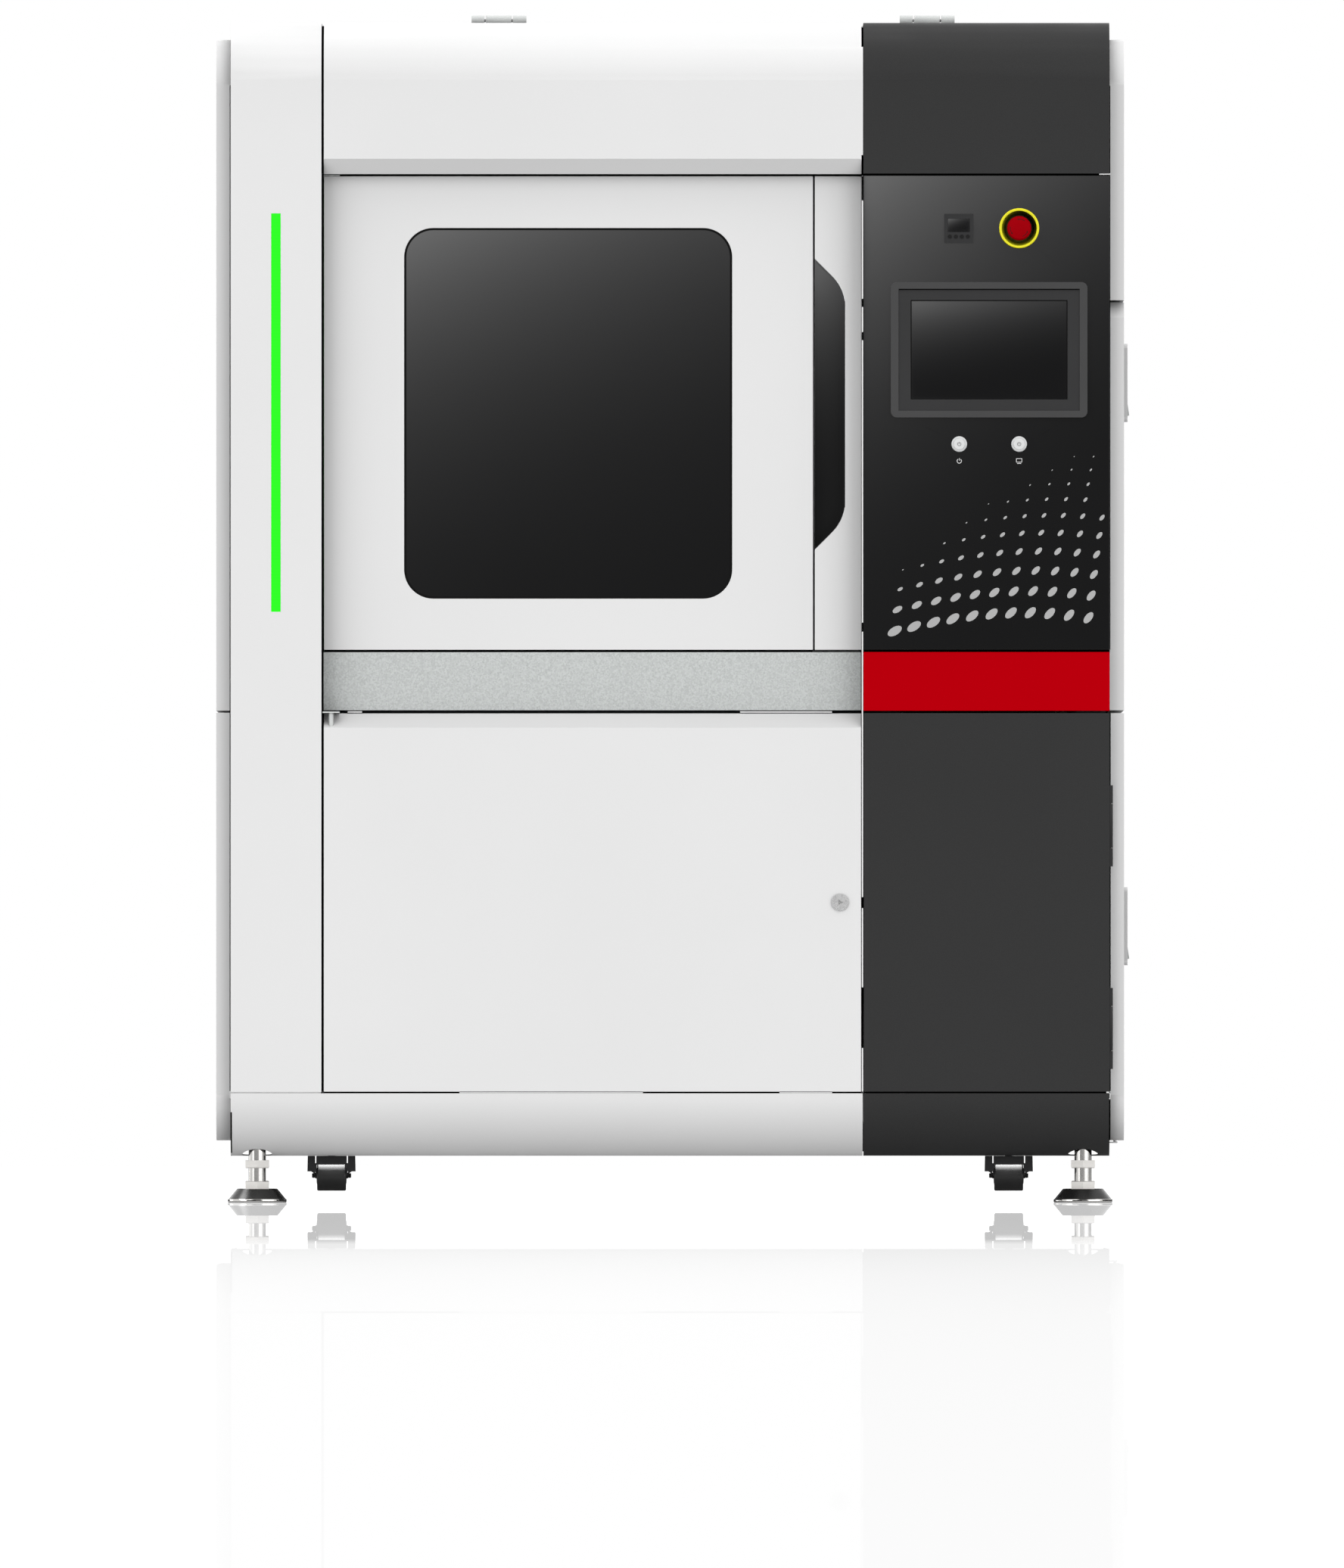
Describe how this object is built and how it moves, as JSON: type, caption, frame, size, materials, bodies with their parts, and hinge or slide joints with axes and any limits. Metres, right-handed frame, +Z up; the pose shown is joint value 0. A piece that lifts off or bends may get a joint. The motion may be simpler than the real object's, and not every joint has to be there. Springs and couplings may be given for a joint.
{
  "type": "resin printer",
  "caption": "Floor-standing stereolithography resin printer: cabinet with window door, operator column, flip-up hood, side doors, vat, lifting platform, recoater, castors and levelling feet.",
  "frame": {"origin": "centre of the bounding box's base, on the floor under the levelling feet", "axes": "+Z up, -Y out of the front with its window door, +X to the right seen from the front"},
  "size_m": [1.509, 1.338, 1.968],
  "materials": {
    "frame_paint": "dark grey powder coat",
    "liner_paint": "light grey paint",
    "stone": "fine speckled grey",
    "white_paint": "white powder coat",
    "dark_paint": "dark matte powder coat",
    "red_paint": "red powder coat",
    "gloss_black": "gloss black sheet",
    "light_diffuser": "lit green diffuser",
    "dark_plastic": "dark grey moulded",
    "screen_glass": "unlit display",
    "yellow_plastic": "yellow moulded",
    "red_plastic": "red moulded",
    "bright_metal": "satin",
    "hinge_metal": "speckled grey",
    "stainless": "brushed",
    "column_metal": "machined",
    "rail_steel": "ground",
    "optics_black": "black anodised",
    "electrics": "housings on a zinc plate",
    "black_plastic": "black moulded",
    "tinted_glass": "dark tinted, gloss",
    "lock_steel": "polished",
    "lever_metal": "light grey",
    "key_plastic": "soft keys",
    "castor_steel": "black coat",
    "tread": "black tread",
    "foot_metal": "plated studs on a black pad",
    "platform_metal": "perforated plate",
    "recoater_metal": "anodised"
  },
  "bodies": {
    "cabinet": {"frame": "frame_paint", "inner_panels": "liner_paint", "granite_base": "stone", "left_column_cover": "white_paint", "status_light": "light_diffuser", "skirt_white": "white_paint", "skirt_dark": "dark_paint", "jamb_trim": "white_paint", "pull_recess": "gloss_black", "control_panel": "gloss_black", "hmi_bezel": "dark_plastic", "hmi_screen": "screen_glass", "temp_controller": "black_plastic", "estop_guard": "yellow_plastic", "button_bezels": "bright_metal", "red_band": "red_paint", "left_side_covers": "white_paint", "right_side_covers": "white_paint", "rear_covers": "white_paint", "top_cover": "white_paint", "hinge_leaves_fixed": "hinge_metal", "resin_vat": "stainless", "z_column": "column_metal", "linear_rails": "rail_steel", "laser_module": "optics_black", "electrical_plate": "electrics", "power_inlet": "black_plastic"},
    "hood": {"hood_white": "white_paint", "hood_dark": "dark_paint"},
    "front_door": {"front_door": "white_paint", "window_pane": "tinted_glass"},
    "lower_door": {"lower_door": "white_paint"},
    "cam_lock": {"cam_lock": "lock_steel"},
    "dark_door": {"dark_door": "dark_paint"},
    "side_door_upper": {"side_door_upper": "white_paint"},
    "side_door_lower": {"side_door_lower": "white_paint"},
    "latch_upper": {"latch_lever_upper": "lever_metal"},
    "latch_lower": {"latch_lever_lower": "lever_metal"},
    "estop": {"estop_button": "red_plastic"},
    "power_button": {"power_button": "bright_metal"},
    "computer_button": {"computer_button": "bright_metal"},
    "platform": {"build_platform": "platform_metal"},
    "screw": {"ball_screw": "rail_steel"},
    "recoater": {"recoater": "recoater_metal"},
    "key_1": {"key_1": "key_plastic"},
    "castor_1": {"castor_fork_1": "castor_steel"},
    "wheel_1": {"castor_wheel_1": "tread"},
    "foot_1": {"foot_1": "foot_metal"},
    "key_2": {"key_2": "key_plastic"},
    "castor_2": {"castor_fork_2": "castor_steel"},
    "wheel_2": {"castor_wheel_2": "tread"},
    "foot_2": {"foot_2": "foot_metal"},
    "key_3": {"key_3": "key_plastic"},
    "castor_3": {"castor_fork_3": "castor_steel"},
    "wheel_3": {"castor_wheel_3": "tread"},
    "foot_3": {"foot_3": "foot_metal"},
    "key_4": {"key_4": "key_plastic"},
    "castor_4": {"castor_fork_4": "castor_steel"},
    "wheel_4": {"castor_wheel_4": "tread"},
    "foot_4": {"foot_4": "foot_metal"}
  },
  "joints": [
    {"name": "hood_lift", "type": "hinge", "parent": "cabinet", "child": "hood", "pos_m": [-0.0045, -0.24015, 1.9592], "axis": [-1, 0, 0], "range_deg": [0, 75]},
    {"name": "front_door_swing", "type": "hinge", "parent": "cabinet", "child": "front_door", "pos_m": [-0.5645, -0.59215, 1.3], "axis": [0, 0, -1], "range_deg": [0, 90]},
    {"name": "lower_door_swing", "type": "hinge", "parent": "cabinet", "child": "lower_door", "pos_m": [-0.5645, -0.63215, 0.5], "axis": [0, 0, -1], "range_deg": [0, 110]},
    {"name": "cam_lock_turn", "type": "hinge", "parent": "lower_door", "child": "cam_lock", "pos_m": [0.276, -0.64015, 0.4957], "axis": [0, -1, 0], "range_deg": [0, 90]},
    {"name": "dark_door_swing", "type": "hinge", "parent": "cabinet", "child": "dark_door", "pos_m": [0.7212, -0.63015, 0.5], "axis": [0, 0, 1], "range_deg": [0, 110]},
    {"name": "side_door_upper_swing", "type": "hinge", "parent": "cabinet", "child": "side_door_upper", "pos_m": [0.7395, 0.60785, 1.15], "axis": [0, 0, 1], "range_deg": [0, 100]},
    {"name": "side_door_lower_swing", "type": "hinge", "parent": "cabinet", "child": "side_door_lower", "pos_m": [0.7395, 0.60785, 0.45], "axis": [0, 0, 1], "range_deg": [0, 100]},
    {"name": "latch_upper_lift", "type": "hinge", "parent": "side_door_upper", "child": "latch_upper", "pos_m": [0.7487, -0.55815, 1.403], "axis": [0, -1, 0], "range_deg": [0, 35]},
    {"name": "latch_lower_lift", "type": "hinge", "parent": "side_door_lower", "child": "latch_lower", "pos_m": [0.7487, -0.55815, 0.505], "axis": [0, -1, 0], "range_deg": [0, 35]},
    {"name": "estop_press", "type": "slide", "parent": "cabinet", "child": "estop", "axis": [0, 1, 0], "range_m": [0, 0.005], "stiffness_N_per_m": 2000},
    {"name": "power_press", "type": "slide", "parent": "cabinet", "child": "power_button", "axis": [0, 1, 0], "range_m": [0, 0.003], "stiffness_N_per_m": 900},
    {"name": "computer_press", "type": "slide", "parent": "cabinet", "child": "computer_button", "axis": [0, 1, 0], "range_m": [0, 0.003], "stiffness_N_per_m": 900},
    {"name": "key_1_press", "type": "slide", "parent": "cabinet", "child": "key_1", "axis": [0, 1, 0], "range_m": [0, 0.0006], "stiffness_N_per_m": 1500},
    {"name": "key_2_press", "type": "slide", "parent": "cabinet", "child": "key_2", "axis": [0, 1, 0], "range_m": [0, 0.0006], "stiffness_N_per_m": 1500},
    {"name": "key_3_press", "type": "slide", "parent": "cabinet", "child": "key_3", "axis": [0, 1, 0], "range_m": [0, 0.0006], "stiffness_N_per_m": 1500},
    {"name": "key_4_press", "type": "slide", "parent": "cabinet", "child": "key_4", "axis": [0, 1, 0], "range_m": [0, 0.0006], "stiffness_N_per_m": 1500},
    {"name": "castor_1_swivel", "type": "hinge", "parent": "cabinet", "child": "castor_1", "pos_m": [-0.5645, -0.51015, 0.075], "axis": [0, 0, 1], "continuous": true},
    {"name": "wheel_1_roll", "type": "hinge", "parent": "castor_1", "child": "wheel_1", "pos_m": [-0.5645, -0.48815, 0.044], "axis": [1, 0, 0], "continuous": true},
    {"name": "castor_2_swivel", "type": "hinge", "parent": "cabinet", "child": "castor_2", "pos_m": [0.5555, -0.51015, 0.075], "axis": [0, 0, 1], "continuous": true},
    {"name": "wheel_2_roll", "type": "hinge", "parent": "castor_2", "child": "wheel_2", "pos_m": [0.5555, -0.48815, 0.044], "axis": [1, 0, 0], "continuous": true},
    {"name": "castor_3_swivel", "type": "hinge", "parent": "cabinet", "child": "castor_3", "pos_m": [-0.5703, 0.52985, 0.075], "axis": [0, 0, 1], "continuous": true},
    {"name": "wheel_3_roll", "type": "hinge", "parent": "castor_3", "child": "wheel_3", "pos_m": [-0.5703, 0.55185, 0.044], "axis": [1, 0, 0], "continuous": true},
    {"name": "castor_4_swivel", "type": "hinge", "parent": "cabinet", "child": "castor_4", "pos_m": [0.5613, 0.52985, 0.075], "axis": [0, 0, 1], "continuous": true},
    {"name": "wheel_4_roll", "type": "hinge", "parent": "castor_4", "child": "wheel_4", "pos_m": [0.5613, 0.55185, 0.044], "axis": [1, 0, 0], "continuous": true},
    {"name": "foot_1_height", "type": "slide", "parent": "cabinet", "child": "foot_1", "axis": [0, 0, 1], "range_m": [-0.02, 0.019]},
    {"name": "foot_2_height", "type": "slide", "parent": "cabinet", "child": "foot_2", "axis": [0, 0, 1], "range_m": [-0.02, 0.019]},
    {"name": "foot_3_height", "type": "slide", "parent": "cabinet", "child": "foot_3", "axis": [0, 0, 1], "range_m": [-0.02, 0.019]},
    {"name": "foot_4_height", "type": "slide", "parent": "cabinet", "child": "foot_4", "axis": [0, 0, 1], "range_m": [-0.02, 0.019]},
    {"name": "platform_lift", "type": "slide", "parent": "cabinet", "child": "platform", "axis": [0, 0, 1], "range_m": [-0.4, 0]},
    {"name": "screw_turn", "type": "hinge", "parent": "cabinet", "child": "screw", "pos_m": [-0.1328, 0.41785, 1], "axis": [0, 0, 1], "range_deg": [-14400, 0]},
    {"name": "recoater_sweep", "type": "slide", "parent": "cabinet", "child": "recoater", "axis": [0, 1, 0], "range_m": [0, 0.65]}
  ],
  "couplings": [
    {"joint": "screw_turn", "follows": "platform_lift", "rad_per_m": 628.32}
  ]
}
